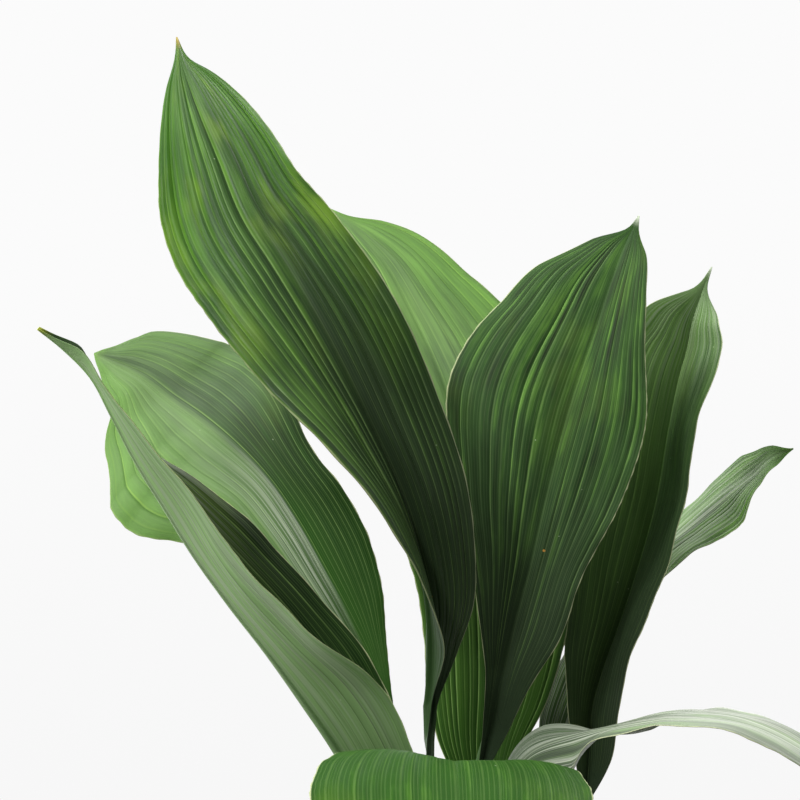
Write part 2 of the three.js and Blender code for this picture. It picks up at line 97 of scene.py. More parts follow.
# Each leaf has the place of its foot in the soil, points of its stem, and the stations of its blade from
# base to tip. A station is x, y, z of the rib, then the half-width and the turn of the left half and of
# the right half. The turn, in degrees, is towards the upper face. "across" points to the left. "bend" is
# how far each half turns further from rib to margin. "wave" is the margin's height, count and phase.
LEFT_WIDTH, LEFT_TURN, RIGHT_WIDTH, RIGHT_TURN = 3, 4, 5, 6  # where they stand in a station
LEAVES = {
    "leaf_tall": {
        "foot": [-16, -20],
        "stem": [[-22, -23, 295]],
        "blade": [
            [-21, -25, 325, 3, 90, 3, 10],
            [-21, -28, 353, 17, 112, 14, -10],
            [-22, -33, 380, 25, 98, 24, 0],
            [-27, -39, 407, 31, 88, 30, 8],
            [-36, -46, 438, 36, 76, 36, 14],
            [-53, -52, 477, 41, 57, 40, 14],
            [-77, -54, 525, 46, 20, 43, 20],
            [-98, -50, 561, 50, 0, 39, 24],
            [-117, -42, 591, 50, -10, 34, 28],
            [-130, -32, 620, 43, -12, 28, 25],
            [-149, -14, 659, 20, -10, 15, 15],
            [-157, -5, 677, 7, -5, 4, 10],
            [-161, 2, 690, 0.5, 0, 0.5, 0],
        ],
        "across": [-1, 0, 0],
        "bend": [-20, -24],
        "wave": [1, 2, 0],
    },
    "leaf_pleated": {
        "foot": [8, 12],
        "stem": [],
        "blade": [
            [6, 6, 281, 3, 60, 3, 40],
            [13, 4, 313, 7, 40, 12, 34],
            [18, 4, 338, 11, 30, 19, 28],
            [24, 5, 363, 20, 18, 28, 24],
            [34, 8, 399, 37, 8, 31, 22],
            [43, 12, 437, 54, 0, 42, 20],
            [57, 19, 488, 70, -8, 45, 18],
            [72, 27, 531, 57, -12, 30, 22],
            [81, 33, 557, 43, -14, 22, 24],
            [88, 38, 575, 21, -15, 15, 20],
            [94, 42, 587, 4, -5, 6, 15],
            [98, 45, 595, 0.5, 0, 0.5, 0],
        ],
        "across": [-1, 0, 0],
        "bend": [-24, -20],
        "wave": [1, 2, 0],
    },
    "leaf_bright": {
        "foot": [4, 36],
        "stem": [[5, 38, 200]],
        "blade": [
            [6, 39, 235, 3, 30, 3, 30],
            [9, 41, 270, 15, 20, 14, 20],
            [10, 43, 297, 28, 15, 24, 15],
            [12, 46, 325, 35, 10, 36, 10],
            [12, 50, 353, 37, 10, 45, 8],
            [10, 57, 387, 40, 10, 52, 10],
            [6, 67, 426, 50, 10, 52, 12],
            [-2, 79, 467, 57, 10, 56, 12],
            [-15, 93, 507, 57, 10, 56, 10],
            [-31, 107, 542, 51, 10, 43, 12],
            [-48, 120, 573, 37, 10, 28, 14],
            [-65, 129, 592, 19, 10, 13, 10],
            [-80, 136, 606, 0.5, 0, 0.5, 0],
        ],
        "across": [-1, 0, 0],
        "bend": [-20, -20],
        "wave": [1, 3, 0],
    },
    "leaf_dark": {
        "foot": [26, 30],
        "stem": [[50, 38, 205]],
        "blade": [
            [67, 44, 262, 3, 40, 3, 40],
            [70, 48, 287, 12, 40, 20, 55],
            [71, 51, 311, 16, 30, 30, 63],
            [78, 55, 335, 26, 25, 38, 74],
            [88, 60, 361, 35, 22, 42, 77],
            [100, 67, 395, 45, 16, 46, 74],
            [111, 75, 432, 50, 12, 47, 72],
            [119, 83, 473, 50, 12, 44, 74],
            [127, 90, 507, 48, 18, 42, 66],
            [131, 93, 520, 42, 20, 34, 60],
            [134, 96, 534, 32, 22, 25, 58],
            [141, 100, 554, 7, 20, 4, 20],
            [147, 102, 569, 0.5, 0, 0.5, 0],
        ],
        "across": [-1, 0, 0],
        "bend": [-24, -16],
        "wave": [1, 2, 0],
    },
    "leaf_striped": {
        "foot": [34, 50],
        "stem": [[40, 64, 215]],
        "blade": [
            [49, 76, 263, 3, 20, 3, 20],
            [57, 86, 294, 14, 0, 14, 30],
            [66, 94, 319, 18, -30, 24, 60],
            [79, 100, 346, 28, -65, 34, 75],
            [95, 105, 372, 36, -76, 38, 80],
            [113, 108, 397, 42, -82, 42, 77],
            [133, 110, 415, 42, -83, 44, 72],
            [154, 110, 433, 38, -86, 36, 68],
            [172, 108, 446, 24, -76, 20, 86],
            [184, 104, 457, 9, -66, 9, 76],
            [195, 100, 461, 0.5, 0, 0.5, 0],
        ],
        "across": [-1, 0, 0],
        "bend": [-16, -16],
        "wave": [1, 3, 0],
    },
    "leaf_broad": {
        "foot": [-14, 26],
        "stem": [],
        "blade": [
            [-38, 36, 286, 3, 40, 3, 40],
            [-47, 42, 317, 11, 25, 6, 30],
            [-57, 49, 344, 23, 20, 14, 24],
            [-69, 56, 366, 34, 14, 26, 18],
            [-83, 64, 390, 45, 10, 34, 14],
            [-99, 74, 417, 55, 6, 36, 14],
            [-116, 83, 441, 62, 2, 35, 12],
            [-146, 96, 468, 79, -2, 54, 4],
            [-161, 102, 479, 75, 0, 59, -6],
            [-177, 107, 490, 55, 8, 56, -16],
            [-192, 110, 502, 33, 18, 45, -22],
            [-207, 112, 510, 19, 20, 30, -22],
            [-216, 113, 515, 10, 20, 18, -22],
            [-221, 114, 518, 0.5, 0, 0.5, 0],
        ],
        "across": [-1, 0, 0],
        "bend": [-46, -40],
        "wave": [1, 3, 0],
    },
    "leaf_folded": {
        "foot": [-20, -36],
        "stem": [],
        "blade": [
            [-35, -46, 222, 3, 60, 3, 60],
            [-50, -51, 255, 26, 152, 16, 0],
            [-59, -56, 284, 36, 162, 28, 0],
            [-72, -62, 308, 43, 162, 37, -8],
            [-87, -68, 331, 47, 157, 42, -20],
            [-106, -76, 359, 47, 138, 44, -40],
            [-126, -84, 386, 47, 129, 46, -54],
            [-143, -92, 411, 44, 127, 44, -64],
            [-157, -100, 435, 40, 130, 39, -77],
            [-171, -108, 459, 35, 128, 30, -88],
            [-182, -116, 482, 27, 123, 20, -88],
            [-192, -124, 502, 18, 121, 13, -95],
            [-204, -131, 515, 11, 147, 7, -50],
            [-216, -138, 525, 2, 140, 2, -20],
        ],
        "across": [-1, 0, 0],
        "bend": [-20, -20],
        "wave": [1, 2, 0],
    },
    "leaf_arching": {
        "foot": [-8, -42],
        "stem": [[-9, -60, 225]],
        "blade": [
            [-10, -80, 262, 3, 30, 3, 30],
            [-11, -108, 291, 28, 20, 28, 20],
            [-12, -150, 312, 52, 0, 52, 8],
            [-12, -195, 320, 62, -7, 63, 0],
            [-12, -240, 313, 63, -7, 67, -2],
            [-12, -280, 288, 54, -2, 59, 0],
            [-12, -308, 248, 32, 8, 33, 8],
            [-12, -322, 200, 0.5, 0, 0.5, 0],
        ],
        "across": [1, 0, 0],
        "bend": [-24, -24],
        "wave": [1, 2, 0],
    },
    "leaf_reaching": {
        "foot": [20, -30],
        "stem": [[16, -44, 230]],
        "blade": [
            [13, -60, 280, 8, 10, 8, 0],
            [29, -75, 308, 28, 2, 26, -40],
            [52, -90, 319, 40, -16, 38, -40],
            [76, -105, 325, 46, -8, 44, 5],
            [102, -118, 331, 48, -4, 46, 6],
            [131, -128, 330, 42, 1, 40, -3],
            [159, -134, 318, 30, 10, 28, -12],
            [183, -138, 298, 14, 10, 14, -10],
            [203, -140, 269, 0.5, 0, 0.5, 0],
        ],
        "across": [0, 1, 0],
        "bend": [-20, -20],
        "wave": [1, 2, 0],
    },
    "leaf_back_left": {
        "foot": [-4, 60],
        "stem": [[4, 76, 250]],
        "blade": [
            [10, 90, 300, 3, 20, 3, 20],
            [15, 104, 330, 20, 15, 20, 15],
            [18, 118, 358, 30, 10, 32, 10],
            [16, 148, 416, 38, 10, 42, 10],
            [8, 172, 465, 36, 10, 38, 10],
            [-5, 188, 509, 20, 10, 20, 10],
            [-17, 196, 540, 0.5, 0, 0.5, 0],
        ],
        "across": [-1, 0, 0],
        "bend": [-24, -24],
        "wave": [1, 2, 0],
    },
    "leaf_back_right": {
        "foot": [16, 62],
        "stem": [[26, 90, 230]],
        "blade": [
            [32, 112, 285, 3, 20, 3, 20],
            [34, 134, 320, 20, 15, 20, 15],
            [36, 158, 360, 36, 10, 36, 10],
            [42, 192, 410, 44, 10, 44, 10],
            [48, 218, 450, 36, 10, 36, 10],
            [52, 238, 480, 18, 10, 18, 10],
            [54, 250, 500, 0.5, 0, 0.5, 0],
        ],
        "across": [-1, 0, 0],
        "bend": [-24, -24],
        "wave": [1, 2, 0],
    },
}

# The finish of a leaf: "relief" is how deep its creases are. "tone" runs from dark green at 0 to light at 1,
# "streaks" is how much that varies, and "right" is painted shade on the right half. "rib" is how dark the
# painted shade beside the rib is, "yellow" goes towards yellow-green in patches, and "pale" is a painted
# greyish sheen, which also pales the light through the blade. "shade_to" is how far the painted shade at the
# base reaches, and "grey_to" how far the dark parts and the painted shade are greyish. "under" runs from a
# dark underside at 0 to a pale one at 1. "stripes" is for painted sheen in whitish bands along the veins
# from
# "stripes_from" on, and "fan" for painted sheen in fine pale lines beside the rib. "glow" is how much light
# comes through, "gloss" is the sheen, and "tip" the colour that the leaf ends in.
PLAIN_FINISH = {
    "relief": 0.7, "tone": 0.35, "streaks": 1.0, "right": 0.0, "rib": 0.3, "yellow": 0.1, "pale": 0.1,
    "shade_to": 0.65, "grey_to": 0.75, "under": 0.4, "stripes": 0.0, "stripes_from": 0.0, "fan": 0.0,
    "glow": 0.3, "gloss": 0.3, "tip": "green",
}
FINISHES = {
    "leaf_tall": {
        "relief": 0.9, "tone": 0.15, "streaks": 0.7, "right": -0.2, "rib": 0.8, "yellow": 0.9, "pale": 0.0,
        "shade_to": 0.75, "grey_to": 0.95, "under": 0.1, "stripes": 0.2, "stripes_from": 0.8, "gloss": 0.9,
        "tip": "brown",
    },
    "leaf_pleated": {
        "relief": 0.55, "tone": -0.02, "streaks": 0.85, "right": -0.15, "yellow": 0.15, "pale": 0.03,
        "shade_to": 0.8, "glow": 0.04, "gloss": 0.1, "tip": "pale",
    },
    "leaf_bright": {
        "relief": 0.6, "tone": 0.55, "streaks": 0.9, "rib": 0.6, "pale": 0.16, "shade_to": 0.7,
        "grey_to": 0.1, "gloss": 0.1,
    },
    "leaf_dark": {
        "relief": 0.15, "tone": 0.42, "streaks": 0.4, "right": -0.6, "shade_to": 0.8, "under": 0.0,
        "stripes": 0.5, "stripes_from": 0.75, "glow": 0.12, "gloss": 0.25, "tip": "pale",
    },
    "leaf_striped": {"under": 0.45, "stripes": 0.4, "glow": 0.22},
    "leaf_broad": {
        "relief": 0.45, "tone": 0.55, "streaks": 0.5, "right": -1.3, "rib": 0.85, "pale": 0.24,
        "shade_to": 0.85, "grey_to": 0.1, "under": 0.6, "fan": 0.6, "glow": 0.34, "gloss": 0.1,
    },
    "leaf_folded": {
        "relief": 0.4, "tone": 0.1, "streaks": 0.6, "right": -1.2, "pale": 0.0, "shade_to": 0.5,
        "grey_to": 0.1, "under": 1.05, "stripes": 0.4, "stripes_from": 0.2, "glow": 0.12, "gloss": 0.1,
        "tip": "yellow",
    },
    "leaf_arching": {
        "relief": 0.2, "tone": -0.03, "streaks": 0.3, "yellow": 0.2, "pale": 0.0, "grey_to": 0.1,
        "glow": 0.06, "gloss": 0.0,
    },
    "leaf_reaching": {
        "relief": 0.2, "tone": 0.0, "pale": 0.4, "under": 0.25, "stripes": 0.45, "glow": 0.05,
    },
    "leaf_back_left": {"yellow": 0.2},
    "leaf_back_right": {"tone": 0.3, "yellow": 0.2, "tip": "brown"},
}

# Fine surface of the leaves, in metres, and how it fades where the blade is narrow, in millimetres
FINE_LINES = 3.5  # to a pleat
FINE_LINE_BUMP = 0.00006
FINE_LINE_WIDTHS = (8.0, 45.0)
GRAIN_BUMP = 0.00005
GRAINS = 1100.0  # to a metre
DETAIL_WIDTHS = (5.0, 26.0)
UNDERSIDE_ROUGHNESS = 0.48

# Stage, in metres and watts
WARM_WHITE = (1.0, 0.99, 0.97)
COOL_WHITE = (0.96, 0.98, 1.0)
BACKDROP_HEIGHTS = (-0.17, 0.05)  # the directions' heights between which its brightness changes
BACKDROP_BRIGHTNESS = (0.93, 0.965)
AMBIENT = 0.04  # the world's least light, from everywhere
LOBES = (  # the rest: where it comes from, how near to that it starts and is full, and its strength
    ((0, 0.98, 0.17), -0.1, 0.9, 1.0),
    ((-0.2, 0.45, 0.87), -0.25, 1.0, 1.8),
)
FLOOR_RADIUS = 1.5
FLOOR_SIDES = 96
FLOOR_FADES = (0.5, 1.35)  # from where to where out from the middle


def mix(a, b, t):
    return a + (b - a) * t


def smooth_step(low, high, value):
    t = np.clip((value - low) / (high - low), 0, 1)
    return t * t * (3 - 2 * t)


def wave(turns):
    return np.sin(2 * np.pi * turns)


def unit(vectors):
    return vectors / np.linalg.norm(vectors, axis=-1, keepdims=True)


def linear(red, green, blue):
    """A colour on the 0 to 255 scale of a screen, as the linear numbers that shaders take."""
    shares = [c / 255 for c in (red, green, blue)]
    return [c / 12.92 if c <= 0.04045 else ((c + 0.055) / 1.055) ** 2.4 for c in shares]


# Meshes


def new_object(name, points, faces, attributes=None):
    """A smooth mesh object from points in millimetres, with a number at each point for each attribute."""
    mesh = bpy.data.meshes.new(name)
    mesh.from_pydata((np.asarray(points, float) * MM).tolist(), [], faces)
    for key, values in (attributes or {}).items():
        layer = mesh.attributes.new(key, "FLOAT", "POINT")
        layer.data.foreach_set("value", np.asarray(values, np.float32).ravel())
    mesh.shade_smooth()
    made = bpy.data.objects.new(name, mesh)
    bpy.context.scene.collection.objects.link(made)
    return made


def tube_faces(rows, size):
    """Faces of a tube of rings, closed at both ends."""
    faces = []
    for i in range(rows - 1):
        for j in range(size):
            k = (j + 1) % size
            faces.append((i * size + j, i * size + k, (i + 1) * size + k, (i + 1) * size + j))
    faces.append(tuple(range(size - 1, -1, -1)))
    faces.append(tuple(range((rows - 1) * size, rows * size)))
    return faces


def lathe(name, profile, sides, height=None):
    """A closed turned body. The profile runs from the axis at the bottom round to the axis again.

    Where the profile has None for a height, the function height gives it at each point.
    """
    angles = [2 * math.pi * k / sides for k in range(sides)]
    middle = [(0, 0)]
    rings = [[(radius * math.cos(a), radius * math.sin(a)) for a in angles] for radius, _ in profile[1:-1]]
    points = []
    for ring, (_, z) in zip([middle, *rings, middle], profile):
        points += [(x, y, height(x, y) if z is None else z) for x, y in ring]
    faces = []
    for j in range(sides):
        k = (j + 1) % sides
        faces.append((0, 1 + k, 1 + j))
        for i in range(len(rings) - 1):
            a, b = 1 + i * sides, 1 + (i + 1) * sides
            faces.append((a + j, a + k, b + k, b + j))
        top = 1 + (len(rings) - 1) * sides
        faces.append((top + j, top + k, len(points) - 1))
    return new_object(name, points, faces)


def rounded(profile, radius, steps):
    """The profile with each inner corner turned into an arc of about that radius."""
    result = [profile[0]]
    for before, corner, after in zip(profile, profile[1:], profile[2:]):
        c = Vector(corner)
        to_before, to_after = Vector(before) - c, Vector(after) - c
        reach = min(radius, to_before.length * 0.45, to_after.length * 0.45)
        start = c + to_before.normalized() * reach
        end = c + to_after.normalized() * reach
        for k in range(steps + 1):
            t = k / steps
            result.append(tuple(start * (1 - t) ** 2 + c * 2 * t * (1 - t) + end * t * t))
    return [*result, profile[-1]]


# Leaves


def curve_through(rows):
    """A smooth curve through rows of numbers that start with a place, by distance from place to place."""
    rows = np.array(rows, float)
    spans = np.linalg.norm(np.diff(rows[:, :3], axis=0), axis=1)
    knots = np.concatenate([[0], np.cumsum(spans)])
    chords = np.diff(rows, axis=0) / spans[:, None]
    slopes = np.concatenate([chords[:1], chords])
    share = (spans[:-1] / (spans[:-1] + spans[1:]))[:, None]
    slopes[1:-1] = mix(chords[:-1], chords[1:], share)

    def at(s):
        i = np.clip(np.searchsorted(knots, s, side="left") - 1, 0, len(spans) - 1)
        t = ((s - knots[i]) / spans[i])[:, None]
        out = slopes[i] * spans[i][:, None]
        into = slopes[i + 1] * spans[i][:, None]
        a = 2 * rows[i] - 2 * rows[i + 1] + out + into
        b = 3 * rows[i + 1] - 3 * rows[i] - 2 * out - into
        return ((a * t + b) * t + out) * t + rows[i]

    return at, knots


def half_leaf(side, stations, progress, axes, leaf, creases, seed):
    """One half of a leaf, as columns from rib to margin at every station. side is 1 left and -1 right.

    In the waves, the shares of seed and side only set the leaves and halves apart.
    """
    rib, left, face = axes
    places, depths = creases
    width = np.maximum(stations[:, LEFT_WIDTH if side > 0 else RIGHT_WIDTH], LEAST_HALF_WIDTH)[:, None]
    width = width * mix(1, DRIP_TIP, smooth_step(*DRIP_SPAN, progress))
    turn = np.radians(stations[:, LEFT_TURN if side > 0 else RIGHT_TURN])[:, None]
    bend = math.radians(leaf["bend"][0 if side > 0 else 1])
    body = np.sin(np.pi * np.clip(progress, 0, 1))
    stem = 1 - smooth_step(0, STEM_ENDS, progress)
    rib_half = mix(STEM_HALF_WIDTH, TIP_RIB_HALF_WIDTH, smooth_step(*RIB_NARROWS, progress))
    rib_half = np.minimum(rib_half, width * mix(RIB_SHARE, STEM_RIB_SHARE, stem))

    # where the columns stand, and how many pleats from the rib
    stops = np.add.outer(np.arange(PLEATS), PLEAT_STOPS).ravel()
    fold = np.concatenate([np.zeros(len(RIB_STOPS)), stops, [PLEATS]])[None, :]
    beyond = np.interp(fold, np.arange(PLEATS + 1), places)
    inner = np.array(RIB_STOPS)[None, :] * rib_half
    outer = mix(rib_half, width, beyond[:, len(RIB_STOPS):])
    place = np.concatenate([inner, outer], axis=1)
    scallop = wave(SCALLOPS * progress + 1.3 * np.sin(9 * progress + seed) + 0.3 * side)
    place = place + SCALLOP_HEIGHT * body * scallop * beyond**12
    share = place / width

    # the surface, which turns at the rib and bends towards the margin
    middles = (place[:, 1:] + place[:, :-1]) / 2
    steps = np.diff(place, axis=1)
    angle = turn + bend * (middles / width - 0.5)
    start = np.zeros_like(width)
    out = np.concatenate([start, np.cumsum(np.cos(angle) * steps, axis=1)], axis=1)
    up = np.concatenate([start, np.cumsum(np.sin(angle) * steps, axis=1)], axis=1)
    across = (left * side)[:, None, :]
    face = face[:, None, :]
    points = rib[:, None, :] + out[..., None] * across + up[..., None] * face
    angle = (turn + bend * (share - 0.5))[..., None]
    normals = np.cos(angle) * face - np.sin(angle) * across

    # its relief: creases that fade in and out, slow rolls, waves at the margin, and the stem's groove
    fades = 0.7 + 0.3 * wave(1.3 * progress + 0.27 * np.arange(PLEATS + 1)[None, :] + 0.23 * seed)
    depths = depths[None, :] * fades
    pleats = np.zeros_like(place)
    for i in range(PLEATS + 1):
        to_left = (fold - i) * side
        reach = np.where(to_left > 0, CREASE_LEFT, CREASE_RIGHT)
        pleats = pleats - CREASE_DEPTH * depths[:, i:i + 1] * np.exp(-np.abs(to_left) / reach)
    roll = wave(1.7 * progress + 0.31 * seed + 0.6 * side * share)
    roll = roll + 0.7 * wave(3.1 * progress - 0.9 * side * share + 0.57 * seed)
    roll = ROLL_HEIGHT * body * roll * smooth_step(0, 0.5, share)
    height, count, offset = leaf["wave"]
    waves = height * body * wave(count * progress + offset * side) * share**2
    ruffle = RUFFLE_HEIGHT * body * wave(RUFFLES * progress + 0.4 * seed + 0.3 * side) * share**6
    groove = -STEM_GROOVE * stem * np.exp(-((place / STEM_GROOVE_REACH) ** 2))
    fullness = np.clip(width / PLEAT_FULL_WIDTH, 0, 1)
    lift = (pleats + roll) * fullness + waves + ruffle + groove

    # its thickness
    arch = np.sqrt(np.clip(1 - (place / rib_half) ** 2, 0, 1))
    rib_depth = mix(STEM_DEPTH, TIP_RIB_DEPTH, np.sqrt(np.clip(progress, 0, 1)))
    thin = mix(MARGIN_THICKNESS, BLADE_THICKNESS, np.clip((width - place) / MARGIN_TAPER, 0, 1))
    depth = mix(thin, rib_depth, arch)

    relief = np.take(depths, np.round(fold[0]).astype(int), axis=1)
    fold[0, :len(RIB_FOLDS)] = RIB_FOLDS
    fold = np.repeat(fold, len(place), axis=0)
    return points, normals, lift, depth, share * side, fold * side, relief


def leaf_piece(name, leaf, seed):
    soil_top = SOIL_LEVEL + SOIL_CROWN
    stem_places = [[*leaf["foot"], STEM_FOOT], [*leaf["foot"], soil_top], *leaf["stem"]]
    stem_rows = [[*place, STEM_HALF_WIDTH, 0, STEM_HALF_WIDTH, 0] for place in stem_places]
    at, knots = curve_through(stem_rows + leaf["blade"])
    base = knots[len(stem_rows)]
    length = knots[-1]
    stem_stops = np.linspace(0, base, STEM_STEPS, endpoint=False)
    stops = np.concatenate([stem_stops, np.linspace(base, length, BLADE_STEPS + 1)])
    stations = at(stops)
    progress = ((stops - base) / (length - base))[:, None]
    ahead = at(np.minimum(stops + SLOPE_REACH, length))[:, :3]
    behind = at(np.maximum(stops - SLOPE_REACH, 0))[:, :3]
    along = unit(ahead - behind)
    left = np.array(leaf["across"], float)[None, :]
    left = unit(left - (along @ left[0])[:, None] * along)
    axes = stations[:, :3], left, np.cross(along, left)

    finish = PLAIN_FINISH | FINISHES[name]
    halves = []
    draws = random.Random(seed)
    for side in (1, -1):
        shifts = [draws.uniform(-CREASE_SHIFT, CREASE_SHIFT) for _ in range(PLEATS - 1)]
        places = (np.arange(PLEATS + 1) + [0, *shifts, 0]) / PLEATS
        depths = [draws.choice(CREASE_DEPTHS) for _ in range(PLEATS)]
        creases = places, np.array([0, *depths]) * finish["relief"]
        halves.append(half_leaf(side, stations, progress, axes, leaf, creases, seed))
    halves[0][1][:, :1] = unit(halves[0][1][:, :1] + halves[1][1][:, :1])  # one normal at the rib

    def joined(k):
        return np.concatenate([halves[0][k][:, ::-1], halves[1][k][:, 1:]], axis=1)

    points, normals, lift, depth, share, fold, relief = [joined(k) for k in range(7)]
    upper = points + normals * lift[..., None]
    lower = points + normals * (lift - depth)[..., None]
    rims = [(upper[:, j] + lower[:, j]) / 2 for j in (-1, 0)]
    edges = [unit(points[:, j] - points[:, i]) * MARGIN_BULGE for j, i in ((-1, -2), (0, 1))]
    right_rim, left_rim = [(rim + edge)[:, None] for rim, edge in zip(rims, edges)]
    rings = np.concatenate([upper, right_rim, lower[:, ::-1], left_rim], axis=1)
    rows, size = rings.shape[:2]

    def all_round(values, right, left):
        """The values of a ring's points, from those of one face and of the two rims."""
        return np.concatenate([values, right, values[:, ::-1], left], axis=1)

    one = np.ones_like(share)
    breadth = np.maximum(stations[:, LEFT_WIDTH], stations[:, RIGHT_WIDTH])[:, None]
    attributes = {
        "across": all_round(share, -one[:, :1], one[:, :1]),
        "fold": all_round(fold, fold[:, -1:], fold[:, :1]),
        "relief": all_round(relief, relief[:, -1:], relief[:, :1]),
        "along": np.repeat(progress, size, axis=1),
        "upper": np.concatenate([one, one[:, :1] * 0.5, one * 0, one[:, :1] * 0.5], axis=1),
        "breadth": np.repeat(breadth, size, axis=1),
    }
    piece = new_object("fine_" + name, rings.reshape(-1, 3), tube_faces(rows, size), attributes)
    piece.data.materials.append(leaf_material(name, finish, seed))
    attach(piece, "root")
    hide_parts(name)


# Materials

DEEP_GREEN = linear(14, 24, 11)
DARK_GREEN = linear(38, 52, 34)
VIVID_GREEN = linear(34, 68, 18)
LIGHT_GREEN = linear(104, 154, 50)
YELLOW_GREEN = linear(110, 142, 36)
VEIN_GREEN = linear(164, 198, 118)
DARK_UNDER = linear(48, 74, 38)
PALE_UNDER = linear(158, 198, 130)
SHEEN_GREY = linear(184, 188, 176)
MARGIN_CREAM = linear(200, 206, 160)
SPOT_ORANGE = linear(196, 140, 60)
FLECK = linear(170, 184, 150)
THROUGH_GREEN = linear(146, 196, 62)
THROUGH_PALE = linear(186, 216, 156)
THROUGH_VEIN = linear(196, 220, 120)
TIPS = {
    "brown": linear(168, 138, 72),
    "pale": linear(190, 200, 178),
    "green": linear(110, 140, 80),
    "yellow": linear(150, 156, 60),
}
CLAY = linear(226, 221, 211)
CLAY_CLOUD = linear(214, 207, 194)
CLAY_SPECKLE = linear(150, 132, 112)
DARK_EARTH = linear(38, 28, 22)
LIGHT_EARTH = linear(86, 66, 50)
FLOOR_GREY = linear(206, 205, 203)


class Shading:
    """The nodes of a material or of the world, and short calls that add to them."""

    def __init__(self, owner, output="ShaderNodeOutputMaterial"):
        owner.use_nodes = True
        self.owner = owner
        self.tree = owner.node_tree
        self.tree.nodes.clear()
        self.output = self.tree.nodes.new(output)

    def node(self, kind, inputs=None, **settings):
        made = self.tree.nodes.new(kind)
        for key, value in settings.items():
            setattr(made, key, value)
        for key, value in (inputs or {}).items():
            self.feed(made.inputs[key], value)
        return made

    def feed(self, socket, value):
        if isinstance(value, bpy.types.NodeSocket):
            self.tree.links.new(value, socket)
        elif socket.type == "RGBA" and len(value) == 3:
            socket.default_value = [*value, 1]
        else:
            socket.default_value = value

    def attribute(self, name):
        return self.node("ShaderNodeAttribute", attribute_name=name).outputs["Fac"]

    def math(self, operation, a, b=0.0):
        return self.node("ShaderNodeMath", {0: a, 1: b}, operation=operation).outputs[0]

    def plus(self, a, b):
        return self.math("ADD", a, b)

    def times(self, first, *others):
        for other in others:
            first = self.math("MULTIPLY", first, other)
        return first

    def ramp(self, value, low, high, start=0.0, end=1.0):
        """Runs smoothly from start to end while the value goes from low to high, and stays level beyond."""
        inputs = {"Value": value, "From Min": low, "From Max": high, "To Min": start, "To Max": end}
        made = self.node("ShaderNodeMapRange", inputs, interpolation_type="SMOOTHSTEP")
        return made.outputs["Result"]

    def mix(self, share, a, b):
        """From colour a at 0 to colour b at 1."""
        return self.node("ShaderNodeMix", {0: share, 6: a, 7: b}, data_type="RGBA").outputs[2]

    def mix_numbers(self, share, a, b):
        return self.node("ShaderNodeMix", {0: share, 2: a, 3: b}).outputs[0]

    def vector(self, x, y, z):
        return self.node("ShaderNodeCombineXYZ", {0: x, 1: y, 2: z}).outputs[0]

    def noise(self, vector, scale, detail=2.0, roughness=0.5):
        inputs = {"Vector": vector, "Scale": scale, "Detail": detail, "Roughness": roughness}
        return self.node("ShaderNodeTexNoise", inputs).outputs["Fac"]

    def place(self):
        return self.node("ShaderNodeTexCoord").outputs["Object"]

    def bump(self, height, distance, strength=1.0, under=None):
        inputs = {"Height": height, "Distance": distance, "Strength": strength}
        if under is not None:
            inputs["Normal"] = under
        return self.node("ShaderNodeBump", inputs).outputs["Normal"]

    def show(self, shader):
        self.tree.links.new(shader.outputs[0], self.output.inputs["Surface"])
        return self.owner


